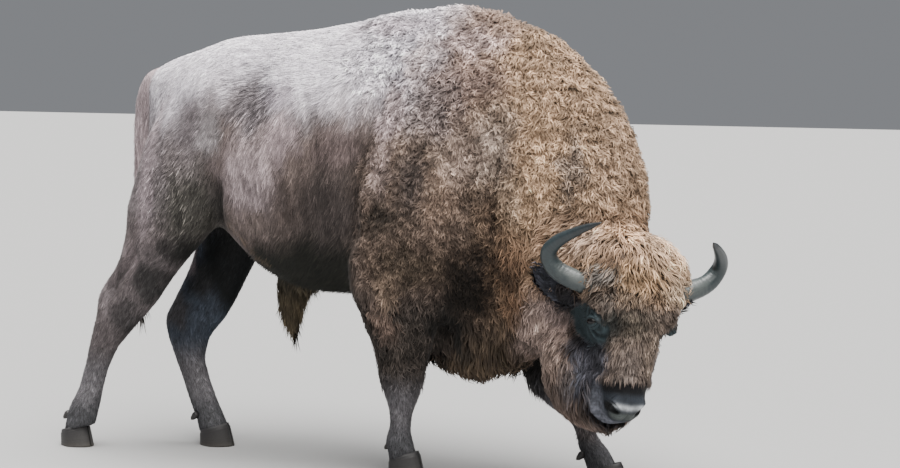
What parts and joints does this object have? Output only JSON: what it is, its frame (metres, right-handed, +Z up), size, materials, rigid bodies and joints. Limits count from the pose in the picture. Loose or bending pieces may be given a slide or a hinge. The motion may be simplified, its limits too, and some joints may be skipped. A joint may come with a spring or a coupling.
{
  "type": "european bison",
  "caption": "Life-size still European bison bull in mid stride, head lowered and turned to its right, shaggy on hump, neck, chest and forelegs, short-haired on back, rump and lower legs.",
  "frame": {"origin": "middle of the model's footprint box, on the floor it stands on", "axes": "+X from the rump towards the head, +Y to the animal's left, +Z up"},
  "size_m": [2.7818, 0.78, 1.7698],
  "materials": {
    "coat_brown": "dense mid-brown hair, greyer along the back and rump",
    "coat_warm": "long woolly golden-brown hair in short curls",
    "coat_dark": "blackish-brown hair, short on the lower legs and shaggy at the tufts",
    "muzzle_skin": "bare blue-black skin, damp and faintly shiny",
    "horn": "horn, grey at the root and blackish at the tip, satin",
    "hoof": "dark grey hoof horn, satin",
    "eye": "dark brown, glossy and wet"
  },
  "bodies": {
    "root": {"beard": "coat_brown", "claw_fore_left_inner": "hoof", "claw_fore_left_outer": "hoof", "claw_fore_right_inner": "hoof", "claw_fore_right_outer": "hoof", "claw_hind_left_inner": "hoof", "claw_hind_left_outer": "hoof", "claw_hind_right_inner": "hoof", "claw_hind_right_outer": "hoof", "dewclaw_fore_left_inner": "hoof", "dewclaw_fore_left_outer": "hoof", "dewclaw_fore_right_inner": "hoof", "dewclaw_fore_right_outer": "hoof", "dewclaw_hind_left_inner": "hoof", "dewclaw_hind_left_outer": "hoof", "dewclaw_hind_right_inner": "hoof", "dewclaw_hind_right_outer": "hoof", "ear_left": "coat_dark", "ear_right": "coat_dark", "eye_left": "eye", "eye_right": "eye", "foreleg_left": "coat_dark", "foreleg_left_lower": "coat_dark", "foreleg_right": "coat_brown", "foreleg_right_lower": "coat_dark", "head": "coat_brown", "hindleg_left": "coat_dark", "hindleg_left_lower": "coat_dark", "hindleg_right": "coat_brown", "hindleg_right_lower": "coat_dark", "horn_left": "horn", "horn_right": "horn", "muzzle": "muzzle_skin", "neck": "coat_warm", "sheath_tuft": "coat_dark", "tail": "coat_brown", "tail_tuft": "coat_dark", "trunk": "coat_brown"}
  },
  "joints": []
}
